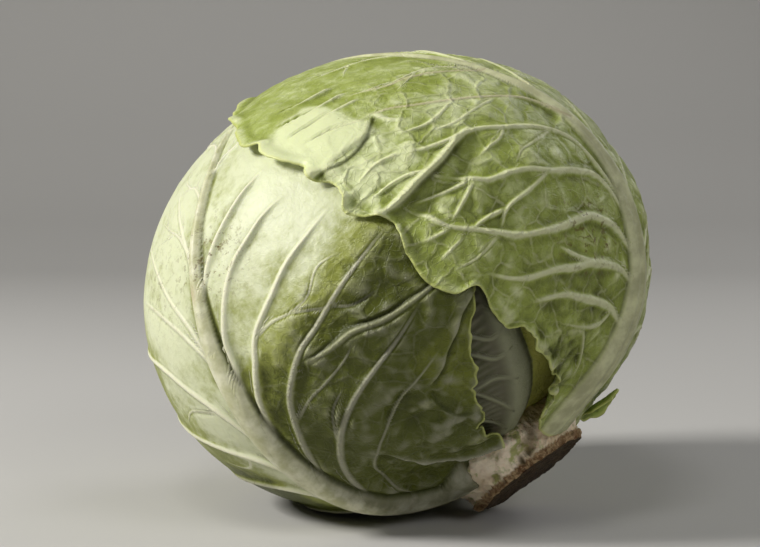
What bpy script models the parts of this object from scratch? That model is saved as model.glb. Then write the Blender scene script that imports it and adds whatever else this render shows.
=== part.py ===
"""A head of white cabbage, cut from the plant and lying on its side.

Metres, +Z up. The head is a slightly flat ball whose cut stump points down and to the right.
Every leaf is drawn flat, as an outline in millimetres across (x) and along (y) the leaf, and is
then wrapped round the ball at the depth of its own layer. Azimuth and polar angle place a leaf's
middle: azimuth turns about the stem, and the polar angle is measured from the cut stump.
"""
import math

import bmesh
import bpy
from mathutils import Matrix, Vector, kdtree

MM = 0.001

# The ball of leaves.
HEAD_RADIUS = 0.0943         # across the short axis
HEAD_HALF_HEIGHT = 0.0837    # along the short axis
LEAN_HEADING = 152.0         # compass heading of the lean, degrees from +X towards +Y
BALL_LEAN = 22.0             # the ball's short axis, degrees from upright
STEM_LEAN = 41.0             # the stem, degrees from upright
REST_DISTANCE = 0.0810       # middle of the ball down to the flat spot it rests on
DIMPLE_DEPTH = 0.0060        # how far the leaves dip round the stump
DIMPLE_START = 50.0          # degrees from the stump where the dip begins
DIMPLE_END = 12.0            # degrees from the stump where it is full

# Leaves.
LAYER_PITCH = 0.0020         # one leaf and the air under it
RESTING_LAYER = 1            # the layer of the leaf that the head lies on
LEAF_THICKNESS = 0.0009
WRAP_RADIUS = 0.0900         # a length on the flat leaf over this is an angle on the ball
LARGE_LEAF_CELLS = 20        # mesh cells across a leaf
SMALL_LEAF_CELLS = 14
SCRAP_CELLS = 6
RIB_HEIGHT = 0.0035          # midrib at the foot of an outer leaf
CURVE_STEPS = 12             # points between two outline points

# Stump.
STUMP_RADIUS = 0.0218        # at the cut
NECK_RADIUS = 0.0212         # between the feet of the leaves
CUT_DISTANCE = 0.0852        # middle of the ball to the cut
CUT_CHAMFER = 0.0015
NECK_LENGTH = 0.0045         # cut to where the stump has narrowed
STUMP_SIDES = 32

# Heart.
DEEPEST_LAYER = 6            # the heart's depth round the stump, in layers
HEART_GAP = 0.0010           # between the stump and the heart
HEART_REACH = 0.0200         # the heart passes under every leaf this near
STUMP_CLEARANCE = 26.0       # degrees from the stump within which the heart stays deep

LEAVES = [
    {
        "name": "right_wrapper_leaf", "azimuth": -30, "polar": 92, "layer": 0,
        "cells": LARGE_LEAF_CELLS, "rib_height": RIB_HEIGHT, "colour": (0.42, 0.50, 0.20),
        "midrib": [(-4, -114), (4, -94), (14, -62), (14, -27), (6, 9), (-10, 43), (-14, 90), (5, 135)],
        "outline": [
            (-4, -114), (24, -121), (56, -112), (84, -82), (108, -40), (118, 5), (112, 50),
            (90, 90), (55, 120), (5, 135), (-55, 121), (-90, 80), (-97, 40), (-95, 10), (-92, -22),
            (-74, -43), (-66, -60), (-40, -88), (-36, -112),
        ],
    },
    {
        "name": "left_wrapper_leaf", "azimuth": -132, "polar": 84, "layer": 1,
        "cells": LARGE_LEAF_CELLS, "rib_height": RIB_HEIGHT, "colour": (0.50, 0.56, 0.30),
        "midrib": [(-8, -102), (-24, -79), (-19, -40), (-2, 11), (10, 42), (21, 78), (10, 130)],
        "outline": [
            (-8, -102), (26, -97), (46, -68), (72, -40), (88, -20), (98, 10), (96, 50), (80, 88),
            (50, 115), (10, 130), (-35, 124), (-72, 100), (-96, 66), (-108, 28), (-118, -10),
            (-126, -50), (-124, -84), (-100, -112), (-58, -120), (-30, -108),
        ],
    },
    {
        "name": "back_wrapper_leaf", "azimuth": 105, "polar": 80, "layer": 2,
        "cells": LARGE_LEAF_CELLS, "rib_height": RIB_HEIGHT, "colour": (0.50, 0.56, 0.28),
        "midrib": [(0, -96), (4, -50), (2, 0), (-4, 50), (-5, 98)],
        "outline": [
            (0, -96), (30, -102), (60, -90), (80, -52), (92, -15), (94, 22), (74, 60), (40, 88),
            (-5, 98), (-45, 90), (-80, 65), (-104, 25), (-108, -15), (-96, -58), (-66, -94),
            (-32, -103),
        ],
    },
    {
        "name": "crown_leaf", "azimuth": 105, "polar": 146, "layer": 3,
        "cells": SMALL_LEAF_CELLS, "rib_height": 0.0, "colour": (0.55, 0.62, 0.33),
        "midrib": [(0, -66), (0, 66)],
        "outline": [
            (0, -66), (54, -56), (82, -8), (66, 50), (0, 66), (-66, 52), (-86, -6), (-56, -56),
        ],
    },
    {
        "name": "inner_leaf", "azimuth": -78, "polar": 62, "layer": 4,
        "cells": SMALL_LEAF_CELLS, "rib_height": 0.0, "colour": (0.45, 0.46, 0.32),
        "midrib": [(-14, -61), (0, 60)],
        "outline": [
            (-14, -61), (-7, -62), (-1, -46), (4, -20), (8, 0), (16, 28), (8, 52), (-16, 62),
            (-46, 48), (-60, 14), (-56, -20), (-40, -46), (-24, -60),
        ],
    },
    {
        "name": "inner_under_leaf", "azimuth": -60, "polar": 60, "layer": 5,
        "cells": SMALL_LEAF_CELLS, "rib_height": 0.0, "colour": (0.17, 0.20, 0.05),
        "midrib": [(0, -60), (0, 52)],
        "outline": [
            (0, -60), (16, -56), (38, -30), (44, 4), (30, 38), (0, 52), (-32, 40), (-46, 4),
            (-38, -32), (-16, -56),
        ],
    },
    {
        "name": "torn_leaf_scrap", "azimuth": 6, "polar": 23, "layer": -1,
        "cells": SCRAP_CELLS, "rib_height": 0.0, "colour": (0.36, 0.42, 0.12),
        "midrib": [(0, -6), (0, 7)],
        "outline": [(0, -6), (7, -5), (9, 1), (5, 6), (0, 7), (-6, 6), (-9, 0), (-7, -5)],
    },
]

HEART_COLOUR = (0.50, 0.54, 0.30)
STUMP_COLOUR = (0.34, 0.27, 0.16)


def leaning(angle):
    """Rotation that tips an upright thing over by an angle towards the heading of the lean."""
    heading = math.radians(LEAN_HEADING)
    axis = Vector((-math.sin(heading), math.cos(heading), 0.0))
    return Matrix.Rotation(math.radians(angle), 3, axis)


BALL_TURN = leaning(BALL_LEAN)
STEM_TURN = leaning(STEM_LEAN)
STEM_DIRECTION = STEM_TURN @ Vector((0.0, 0.0, -1.0))


def smooth(value):
    """Rises smoothly from 0 to 1 as value does."""
    value = min(max(value, 0.0), 1.0)
    return value * value * (3.0 - 2.0 * value)


def ball_radius(direction, depth):
    """Distance from the middle to the surface this deep below the outermost leaf."""
    local = BALL_TURN.transposed() @ direction
    across = (local.x ** 2 + local.y ** 2) / (HEAD_RADIUS - depth) ** 2
    along = local.z ** 2 / (HEAD_HALF_HEIGHT - depth) ** 2
    radius = 1.0 / math.sqrt(across + along)
    polar = math.degrees(direction.angle(STEM_DIRECTION))
    radius -= DIMPLE_DEPTH * smooth((DIMPLE_START - polar) / (DIMPLE_START - DIMPLE_END))
    if direction.z < 0.0:
        flat = REST_DISTANCE + RESTING_LAYER * LAYER_PITCH - depth
        radius = min(radius, flat / -direction.z)
    return radius


def leaf_axes(azimuth, polar):
    """Directions of a leaf's middle, its right side and its tip."""
    turn, tilt = math.radians(azimuth), math.radians(polar)
    flat = Vector((math.cos(turn), math.sin(turn), 0.0))
    down = Vector((0.0, 0.0, -1.0))
    middle = math.sin(tilt) * flat + math.cos(tilt) * down
    tip = math.cos(tilt) * flat - math.sin(tilt) * down
    right = tip.cross(middle)
    return STEM_TURN @ middle, STEM_TURN @ right, STEM_TURN @ tip


def wrap(axes, x, y, depth, height):
    """Point on the ball for a point of the flat leaf, raised by a height."""
    middle, right, tip = axes
    spread = math.hypot(x, y)
    if spread < MM * MM:
        direction = middle.copy()
    else:
        angle = spread / WRAP_RADIUS
        direction = math.cos(angle) * middle + math.sin(angle) * (x * right + y * tip) / spread
    return direction * (ball_radius(direction, depth) + height)


def closed_curve(points):
    """Smooth closed curve through the outline's points, with the running length at each step."""
    count = len(points)
    corners = [Vector(point) * MM for point in points]
    curve = []
    for index in range(count):
        before, start, end, after = (corners[(index + step) % count] for step in (-1, 0, 1, 2))
        for step in range(CURVE_STEPS):
            t = step / CURVE_STEPS
            curve.append(0.5 * (
                2.0 * start + t * (end - before)
                + t ** 2 * (2.0 * before - 5.0 * start + 4.0 * end - after)
                + t ** 3 * (3.0 * start - before - 3.0 * end + after)
            ))
    curve.append(curve[0].copy())
    lengths = [0.0]
    for first, second in zip(curve, curve[1:]):
        lengths.append(lengths[-1] + (second - first).length)
    return curve, lengths


def point_at(curve, lengths, fraction):
    """Point this fraction of the way round a closed curve."""
    target = fraction * lengths[-1]
    for index in range(len(curve) - 1):
        if lengths[index + 1] >= target:
            break
    share = (target - lengths[index]) / (lengths[index + 1] - lengths[index])
    return curve[index].lerp(curve[index + 1], share)


def border_fraction(u, v):
    """Where the ray through (u, v) meets a square's border, as a fraction from the lower middle."""
    if abs(u) >= abs(v):
        sides = 2.0 + v / u if u > 0.0 else 6.0 + v / u
    else:
        sides = 4.0 - u / v if v > 0.0 else (-u / v) % 8.0
    return sides / 8.0


def across_at(path, y):
    """How far across the leaf its midrib lies, at a distance along it."""
    for (x_low, y_low), (x_high, y_high) in zip(path, path[1:]):
        if y <= y_high * MM:
            break
    share = min(max((y / MM - y_low) / (y_high - y_low), 0.0), 1.0)
    return MM * (x_low + share * (x_high - x_low))


def make_leaf(spec, collection):
    """A curved sheet with the leaf's outline, ridged along its midrib, and given its thickness."""
    axes = leaf_axes(spec["azimuth"], spec["polar"])
    curve, lengths = closed_curve(spec["outline"])
    foot, tip = curve[0], point_at(curve, lengths, 0.5)
    middle = foot.lerp(tip, 0.5)
    depth = spec["layer"] * LAYER_PITCH
    mesh = bpy.data.meshes.new(spec["name"])
    sheet = bmesh.new()
    bmesh.ops.create_grid(sheet, x_segments=spec["cells"], y_segments=spec["cells"], size=1.0)
    for vertex in sheet.verts:
        u, v = vertex.co.x, vertex.co.y
        reach = max(abs(u), abs(v))
        place = middle.copy()
        if reach > 0.0:
            edge = point_at(curve, lengths, border_fraction(u, v))
            place = middle.lerp(edge, reach)
        along = (place.y - foot.y) / (tip.y - foot.y)
        straight = foot.lerp(tip, along)
        bend = across_at(spec["midrib"], place.y) - straight.x
        place.x += (1.0 - abs(u)) * (1.0 - reach ** 4) * bend
        ridge = smooth(1.0 - abs(u) * spec["cells"] / 2.0)
        height = spec["rib_height"] * ridge * (1.0 - smooth(along)) ** 2
        vertex.co = wrap(axes, place.x, place.y, depth, height)
    sheet.to_mesh(mesh)
    sheet.free()
    leaf = bpy.data.objects.new(spec["name"], mesh)
    collection.objects.link(leaf)
    thickness = leaf.modifiers.new("thickness", "SOLIDIFY")
    thickness.thickness = LEAF_THICKNESS
    thickness.offset = -1.0
    mesh.shade_smooth()
    mesh.set_sharp_from_angle(angle=math.radians(50.0))
    mesh.materials.append(make_material(spec["name"], spec["colour"], 0.45))
    return leaf


def find_leaf_depths(leaves):
    """Directions of all the leaves' points, for looking up near ones, and how deep each lies."""
    points = [vertex.co for leaf in leaves for vertex in leaf.data.vertices]
    near = kdtree.KDTree(len(points))
    depths = []
    for index, point in enumerate(points):
        direction = point.normalized()
        near.insert(direction, index)
        depths.append(ball_radius(direction, 0.0) - point.length)
    near.balance()
    return near, depths


def make_heart(leaves, collection):
    """The tightly folded inner leaves as one solid, one layer under the deepest leaf near each point."""
    near, depths = find_leaf_depths(leaves)
    bpy.ops.mesh.primitive_ico_sphere_add(subdivisions=4, radius=1.0)
    heart = bpy.context.object
    heart.name = heart.data.name = "heart"
    for holder in list(heart.users_collection):
        holder.objects.unlink(heart)
    collection.objects.link(heart)
    for vertex in heart.data.vertices:
        direction = vertex.co.normalized()
        covering = near.find_range(direction, HEART_REACH / WRAP_RADIUS)
        depth = DEEPEST_LAYER * LAYER_PITCH
        if covering and math.degrees(direction.angle(STEM_DIRECTION)) > STUMP_CLEARANCE:
            depth = max(depths[index] for _, index, _ in covering) + LAYER_PITCH
        vertex.co = direction * ball_radius(direction, depth)
    heart.data.shade_smooth()
    heart.data.materials.append(make_material("heart", HEART_COLOUR, 0.5))
    return heart


def make_stump(collection):
    """The cut stem, turned from a profile that widens a little at the cut."""
    inner_end = ball_radius(STEM_DIRECTION, DEEPEST_LAYER * LAYER_PITCH) + HEART_GAP
    profile = [
        (0.0, -inner_end),
        (NECK_RADIUS, -inner_end),
        (NECK_RADIUS, NECK_LENGTH - CUT_DISTANCE),
        (STUMP_RADIUS, CUT_CHAMFER - CUT_DISTANCE),
        (STUMP_RADIUS - CUT_CHAMFER, -CUT_DISTANCE),
        (0.0, -CUT_DISTANCE),
    ]
    mesh = bpy.data.meshes.new("stump")
    line = bmesh.new()
    points = [line.verts.new((radius, 0.0, height)) for radius, height in profile]
    for first, second in zip(points, points[1:]):
        line.edges.new((first, second))
    line.to_mesh(mesh)
    line.free()
    stump = bpy.data.objects.new("stump", mesh)
    collection.objects.link(stump)
    turn = stump.modifiers.new("turn", "SCREW")
    turn.steps = turn.render_steps = STUMP_SIDES
    turn.use_merge_vertices = True
    turn.merge_threshold = 0.00005
    turn.use_normal_calculate = True
    stump.rotation_euler = STEM_TURN.to_euler()
    mesh.materials.append(make_material("stump", STUMP_COLOUR, 0.7))
    return stump


def make_material(name, colour, roughness):
    """Plain finish for a piece: colour, roughness and no metal."""
    material = bpy.data.materials.new(name)
    material.use_nodes = True
    shader = material.node_tree.nodes["Principled BSDF"]
    shader.inputs["Base Color"].default_value = (*colour, 1.0)
    shader.inputs["Roughness"].default_value = roughness
    shader.inputs["Metallic"].default_value = 0.0
    return material


def stand_on_origin(pieces, carrier):
    """Moves the empty that carries the pieces, so the box round them stands centred on the origin."""
    bpy.context.view_layer.update()
    graph = bpy.context.evaluated_depsgraph_get()
    corners = []
    for piece in pieces:
        shown = piece.evaluated_get(graph)
        corners += [shown.matrix_world @ vertex.co for vertex in shown.to_mesh().vertices]
        shown.to_mesh_clear()
    low = Vector(min(corner[axis] for corner in corners) for axis in range(3))
    high = Vector(max(corner[axis] for corner in corners) for axis in range(3))
    carrier.location = (-(low.x + high.x) / 2.0, -(low.y + high.y) / 2.0, -low.z)
    bpy.context.view_layer.update()


def main():
    for item in list(bpy.data.objects):
        bpy.data.objects.remove(item)
    collection = bpy.data.collections.new("cabbage_head")
    bpy.context.scene.collection.children.link(collection)
    carrier = bpy.data.objects.new("cabbage_head", None)
    collection.objects.link(carrier)
    pieces = [make_leaf(spec, collection) for spec in LEAVES]
    pieces.append(make_heart(pieces, collection))
    pieces.append(make_stump(collection))
    for piece in pieces:
        piece.parent = carrier
    stand_on_origin(pieces, carrier)


main()
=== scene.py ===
"""Looks of a white cabbage head lying on its side: leaves with ribs, veins and puckers, and a cut stump.

Every leaf is drawn flat, in millimetres across (x) and along (y) the leaf, raised into relief, and
wrapped round the ball of the head at its own depth. The frame gives the ball's place.
"""

import math

import bmesh
import bpy
import numpy as np
from mathutils import Matrix, Vector


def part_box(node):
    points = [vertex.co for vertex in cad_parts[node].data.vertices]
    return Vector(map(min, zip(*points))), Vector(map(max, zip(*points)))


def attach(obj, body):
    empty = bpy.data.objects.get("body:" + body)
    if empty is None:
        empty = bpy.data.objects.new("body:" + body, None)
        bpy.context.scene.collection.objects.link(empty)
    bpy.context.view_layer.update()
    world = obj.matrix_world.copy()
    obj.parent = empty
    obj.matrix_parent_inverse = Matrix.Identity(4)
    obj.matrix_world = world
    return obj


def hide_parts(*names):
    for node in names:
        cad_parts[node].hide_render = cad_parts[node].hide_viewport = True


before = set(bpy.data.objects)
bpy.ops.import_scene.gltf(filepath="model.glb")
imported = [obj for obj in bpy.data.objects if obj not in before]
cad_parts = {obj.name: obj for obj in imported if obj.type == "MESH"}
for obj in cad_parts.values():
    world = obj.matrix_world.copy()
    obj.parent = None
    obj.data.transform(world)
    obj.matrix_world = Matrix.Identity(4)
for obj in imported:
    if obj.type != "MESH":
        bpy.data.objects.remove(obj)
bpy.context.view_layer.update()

MM = 0.001

# The ball of leaves, as the frame was drawn.
HEAD_RADIUS = 94.3
HEAD_HALF_HEIGHT = 83.7
LEAN_HEADING = 152.0
BALL_LEAN = 22.0
STEM_LEAN = 41.0
REST_DISTANCE = 81.0
RESTING_LAYER = 1
LAYER_PITCH = 2.0
WRAP_RADIUS = 90.0
DIMPLE_DEPTH = 6.0
DIMPLE_START = 50.0
DIMPLE_END = 12.0

# The stump's end, which fixes the middle of the ball.
STUMP_RADIUS = 21.8
STUMP_RIM_DISTANCE = 83.7

# Leaf meshes: the outer face is a fine grid, and the inner face has one cell for every four of them.
OUTER_CELLS = 300
SHORT_CELLS = 180
SCRAP_CELLS = 48
CELLS_PER_INNER_CELL = 4
EDGE_THICKNESS = 0.7
BLADE_THICKNESS = 1.5
EDGE_BAND = 6.0
TORN_BAND = 7.0
TUCKED_UNDER = 0.5
COVER_FADE = 0.05
EDGE_STATIONS = 720
EDGE_WINDOW = 73

# How far from a rib's middle its finish is worked out, in half widths of the rib.
LINE_REACH = 4.0
LINE_SHOWN = 2.3
SIDE_RIB_LEANS = (22.0, 62.0)

NOISE_LATTICE = 64
NET_PATCH = 300.0

# The stump, from its hidden root to the cut, below the middle of the ball.
STUMP_STEPS = 160
CUT_LEVEL = 85.0
CUT_RADIUS = 22.0
DRY_LEVEL = 81.5

# Colours that the leaves share.
DEEP = (0.085, 0.10, 0.010)
OLIVE = (0.21, 0.24, 0.025)
STALK = (0.50, 0.50, 0.29)
BLUSH = (0.42, 0.27, 0.17)
# Painted highlight for the thin leaf edges.
EDGE_HIGHLIGHT = (0.62, 0.66, 0.22)
BROWN_MARK = (0.13, 0.085, 0.02)
WAX = (0.80, 0.84, 0.66)

CAMERA_DISTANCE = 0.66
CAMERA_ELEVATION = 5.0
CAMERA_AIM = (-0.0053, 0.0, 0.0045)
ROOM_LIGHT = 0.05


def leaning(angle):
    """Rotation that tips an upright thing over towards the heading of the lean."""
    heading = math.radians(LEAN_HEADING)
    axis = Vector((-math.sin(heading), math.cos(heading), 0.0))
    return np.array(Matrix.Rotation(math.radians(angle), 3, axis))


BALL_TURN = leaning(BALL_LEAN)
STEM_TURN = leaning(STEM_LEAN)
STEM_DIRECTION = STEM_TURN @ np.array((0.0, 0.0, -1.0))


def find_middle():
    """Middle of the ball in metres, worked back from the box of the stump."""
    low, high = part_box("stump")
    reach = STEM_DIRECTION * STUMP_RIM_DISTANCE * MM
    spread = STUMP_RADIUS * MM * np.sqrt(1.0 - STEM_DIRECTION ** 2)
    return np.array((high.x - reach[0] - spread[0], low.y - reach[1] + spread[1], REST_DISTANCE * MM))


MIDDLE = find_middle()


def smooth(value):
    """Rises smoothly from 0 to 1 as value does."""
    value = np.clip(value, 0.0, 1.0)
    return value * value * (3.0 - 2.0 * value)


def ball_radius(directions, depth):
    """Distance from the middle, in mm, to the surface this deep below the outermost leaf."""
    local = directions @ BALL_TURN
    across = (local[:, 0] ** 2 + local[:, 1] ** 2) / (HEAD_RADIUS - depth) ** 2
    along = local[:, 2] ** 2 / (HEAD_HALF_HEIGHT - depth) ** 2
    radius = 1.0 / np.sqrt(across + along)
    polar = np.degrees(np.arccos(np.clip(directions @ STEM_DIRECTION, -1.0, 1.0)))
    return radius - DIMPLE_DEPTH * smooth((DIMPLE_START - polar) / (DIMPLE_START - DIMPLE_END))


def floor_radius(directions, depth):
    """Distance from the middle, in mm, to the level that a leaf this deep is pressed flat at."""
    level = REST_DISTANCE + RESTING_LAYER * LAYER_PITCH - depth
    return level / np.maximum(-directions[:, 2], 0.01)


def smooth_path(points, steps=5, closed=False):
    """Points of a Catmull-Rom curve through the given ones."""
    points = np.array(points, float)
    if closed:
        points = np.concatenate((points[-1:], points, points[:2]))
    else:
        first, last = 2.0 * points[0] - points[1], 2.0 * points[-1] - points[-2]
        points = np.concatenate((first[None], points, last[None]))
    curve = []
    for before, start, end, after in zip(points, points[1:], points[2:], points[3:]):
        for t in np.arange(steps) / steps:
            curve.append(0.5 * (
                2.0 * start + t * (end - before)
                + t ** 2 * (2.0 * before - 5.0 * start + 4.0 * end - after)
                + t ** 3 * (3.0 * start - before - 3.0 * end + after)
            ))
    curve.append(points[-2])
    return np.array(curve)


def value_noise(x, y, size, seed):
    """Smooth random values from -1 to 1 that change over about this size."""
    cells = NOISE_LATTICE
    lattice = np.random.default_rng(seed).uniform(-1.0, 1.0, (cells, cells))
    column, row = x / size + cells / 2.0, y / size + cells / 2.0
    left, low = np.floor(column).astype(int), np.floor(row).astype(int)
    across, along = smooth(column - left), smooth(row - low)
    corner = [[lattice[(low + j) % cells, (left + i) % cells] for i in (0, 1)] for j in (0, 1)]
    lower = corner[0][0] * (1.0 - across) + corner[0][1] * across
    upper = corner[1][0] * (1.0 - across) + corner[1][1] * across
    return lower * (1.0 - along) + upper * along


def towards(heading, length):
    """A flat step of this length in a heading."""
    return length * np.array((math.cos(heading), math.sin(heading)))


def spot(x, y, place, radius):
    """1 at a place, fading smoothly to 0 at a radius."""
    return smooth(1.0 - np.hypot(x - place[0], y - place[1]) / radius)


class LeafPlane:
    """A flat leaf's outline, and how the flat leaf lies on the ball."""

    def __init__(self, azimuth, polar, layer, outline):
        turn, tilt = math.radians(azimuth), math.radians(polar)
        flat = np.array((math.cos(turn), math.sin(turn), 0.0))
        down = np.array((0.0, 0.0, -1.0))
        middle = math.sin(tilt) * flat + math.cos(tilt) * down
        tip = math.cos(tilt) * flat - math.sin(tilt) * down
        self.middle, self.right, self.tip = (
            STEM_TURN @ middle, STEM_TURN @ np.cross(tip, middle), STEM_TURN @ tip)
        self.depth = layer * LAYER_PITCH
        self.edge = smooth_path(outline, 6, closed=True)
        steps = np.linalg.norm(np.diff(self.edge, axis=0), axis=1)
        self.along = np.concatenate(((0.0,), np.cumsum(steps))) / steps.sum()
        self.centre = 0.5 * (self.edge[0] + self.edge_at(np.array((0.5,)))[0])
        stations = self.edge_at(np.arange(EDGE_STATIONS) / EDGE_STATIONS)
        window = np.hanning(EDGE_WINDOW)
        window /= window.sum()
        half = EDGE_WINDOW // 2
        padded = np.concatenate((stations[-half:], stations, stations[:half + 1]))
        self.calm = np.stack([np.convolve(padded[:, axis], window, "valid") for axis in (0, 1)], 1)
        spokes = self.edge - self.centre
        self.spoke_angle = np.arctan2(spokes[:, 1], spokes[:, 0])
        self.spoke_length = np.hypot(spokes[:, 0], spokes[:, 1])

    def edge_at(self, fraction):
        """Places this far round the edge, from 0 to 1."""
        return np.stack([np.interp(fraction, self.along, self.edge[:, axis]) for axis in (0, 1)], 1)

    def spread(self, u, v):
        """Flat places and share of the way to the edge, for a square grid from -1 to 1."""
        reach = np.maximum(np.maximum(np.abs(u), np.abs(v)), 1e-9)
        wide = np.abs(u) >= np.abs(v)
        slope = np.where(wide, v / np.where(u == 0.0, 1.0, u), u / np.where(v == 0.0, 1.0, v))
        sides = np.where(wide, np.where(u > 0.0, 2.0, 6.0) + slope, np.where(v > 0.0, 4.0, 8.0) - slope)
        fraction = sides % 8.0 / 8.0
        stations = np.linspace(0.0, 1.0, len(self.calm))
        calm = np.stack([np.interp(fraction, stations, self.calm[:, axis]) for axis in (0, 1)], 1)
        detail = (reach ** 7)[:, None] * (self.edge_at(fraction) - calm)
        place = self.centre + reach[:, None] * (calm - self.centre) + detail
        return place[:, 0], place[:, 1], reach

    def directions(self, x, y):
        """Directions from the middle of the ball for flat places."""
        spread = np.maximum(np.hypot(x, y), 1e-9)
        angle = spread / WRAP_RADIUS
        sideways = (x / spread)[:, None] * self.right + (y / spread)[:, None] * self.tip
        return np.cos(angle)[:, None] * self.middle + np.sin(angle)[:, None] * sideways

    def flatten(self, directions):
        """Flat places for directions from the middle of the ball."""
        angle = np.arccos(np.clip(directions @ self.middle, -1.0, 1.0))
        across, along = directions @ self.right, directions @ self.tip
        scale = WRAP_RADIUS * angle / np.maximum(np.hypot(across, along), 1e-9)
        return across * scale, along * scale

    def share(self, directions):
        """Share of the way from this leaf's centre to its edge; over 1 is beyond the leaf."""
        x, y = self.flatten(directions)
        x, y = x - self.centre[0], y - self.centre[1]
        order = np.argsort(self.spoke_angle)
        length = np.interp(
            np.arctan2(y, x), self.spoke_angle[order], self.spoke_length[order], period=2.0 * math.pi)
        return np.hypot(x, y) / length


class Relief:
    """Heights in mm over a leaf's flat places, with the finish masks that go with them.

    The blade, its ribs and its folds are kept apart until total() puts them together. Edge is how
    far in from the leaf's edge each place lies.
    """

    # hollow is shade painted into the colour: along grooves beside ribs and at the foot of ledges.
    MASKS = ("strength", "net", "tone", "blush", "olive", "stalk", "specks", "hollow")

    def __init__(self, x, y, edge):
        self.x, self.y, self.edge = x, y, edge
        self.height, self.ribs, self.folds, self.calm = (np.zeros_like(x) for _ in range(4))
        self.line = np.full_like(x, LINE_REACH)
        for name in self.MASKS:
            setattr(self, name, np.zeros_like(x))

    def measure(self, path, reach):
        """Indices near a path, their distance and side of it (left is positive), and share along it."""
        curve = smooth_path(path)
        low, high = curve.min(0) - reach, curve.max(0) + reach
        near = np.nonzero(
            (self.x > low[0]) & (self.x < high[0]) & (self.y > low[1]) & (self.y < high[1]))[0]
        place = np.stack((self.x[near], self.y[near]), 1)
        distance = np.full(len(near), 1e9)
        side, share = np.ones(len(near)), np.zeros(len(near))
        count = len(curve) - 1
        for index, (start, end) in enumerate(zip(curve, curve[1:])):
            run = end - start
            offset = place - start
            along = np.clip(offset @ run / max(run @ run, 1e-9), 0.0, 1.0)
            gap = offset - along[:, None] * run
            length = np.hypot(gap[:, 0], gap[:, 1])
            closer = length < distance
            distance[closer] = length[closer]
            side[closer] = np.where(run[0] * offset[closer, 1] > run[1] * offset[closer, 0], 1.0, -1.0)
            share[closer] = (index + along[closer]) / count
        return near, distance, side, share

    def total(self):
        """Height of the blade, calmed under its ribs, with the ribs and folds on it."""
        return self.height * (1.0 - self.calm) + self.ribs + self.folds

    def rib(self, path, widths, heights, tint=1.0, blush=0.0, round_top=0.0, stalk=0.0):
        """A raised rib: half widths, and heights, from its start to its end.

        It fades at both ends and melts into the ribs that it meets. The tint is how pale it is.
        """
        near, distance, side, share = self.measure(path, 3.5 * max(widths))
        width = np.interp(share, np.linspace(0.0, 1.0, len(widths)), widths)
        height = np.interp(share, np.linspace(0.0, 1.0, len(heights)), heights)
        spread = distance / width
        run = np.linalg.norm(np.diff(smooth_path(path), axis=0), axis=1).sum()
        fade = smooth((1.0 - share) / max(0.15, 7.0 / run)) * smooth(0.3 + share * run / 4.0)
        ridge = smooth(3.5 - spread) / (1.0 + (spread / 0.8) ** 4)
        crown = 0.5 * ridge + 0.5 * smooth(1.0 - spread / 3.4) ** 1.5
        barrel = np.sqrt(np.clip(1.0 - (0.92 * spread) ** 2, 0.0, 1.0))
        crown = crown * (1.0 - round_top) + round_top * (0.75 * barrel + 0.25 * smooth(1.0 - spread / 2.5))
        self.ribs[near] = np.cbrt(self.ribs[near] ** 3 + (height * crown * fade) ** 3)
        self.calm[near] = np.maximum(self.calm[near], 0.85 * fade * smooth(1.9 - spread))
        self.stalk[near] = np.maximum(self.stalk[near], stalk * fade * smooth((1.25 - spread) / 0.35))
        closer = spread < np.abs(self.line[near])
        index = near[closer]
        self.line[index] = np.clip(spread[closer] * side[closer], -LINE_REACH, LINE_REACH)
        self.strength[index] = tint * fade[closer]
        self.blush[index] = blush

    def grooves(self, path, width, spacing, depth):
        """Fine grooves that run along a broad rib."""
        near, distance, side, _ = self.measure(path, width)
        fade = smooth(1.4 - distance / width)
        self.folds[near] += depth * fade * np.cos(2.0 * math.pi * distance * side / spacing)

    def gutter(self, path, offsets, width, depth):
        """A groove along the right flank of a rib, this far from its middle line, with painted shade in it.
        """
        near, distance, side, share = self.measure(path, max(offsets) + 3.0 * width)
        offset = np.interp(share, np.linspace(0.0, 1.0, len(offsets)), offsets)
        fade = smooth(share / 0.12) * smooth((1.0 - share) / 0.2)
        groove = np.where(side < 0.0, fade * smooth(1.0 - np.abs(distance - offset) / width), 0.0)
        self.folds[near] -= depth * groove
        # Painted shade along the groove.
        self.hollow[near] = np.maximum(self.hollow[near], 0.45 * smooth(offset / 6.0) * groove)

    def step(self, path, drop, slope, reach=30.0, ends=0.2):
        """A ledge: the left side of the path lies lower, and comes back up within the reach."""
        near, distance, side, share = self.measure(path, reach)
        fade = smooth(share / ends) * smooth((1.0 - share) / ends)
        low = np.where(side > 0.0, smooth(distance / slope) * smooth(2.0 - 2.0 * distance / reach), 0.0)
        lip = np.where(side > 0.0, smooth(1.0 - distance / slope), smooth(1.0 - distance / (4.0 * slope)))
        self.folds[near] += fade * drop * (0.25 * lip - low)
        # Painted shade at the foot of the ledge, on its low side.
        foot = np.where(side > 0.0, smooth(1.0 - np.abs(distance - 1.2 * slope) / (1.6 * slope)), 0.0)
        self.hollow[near] = np.maximum(self.hollow[near], 0.7 * fade * foot)

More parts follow.
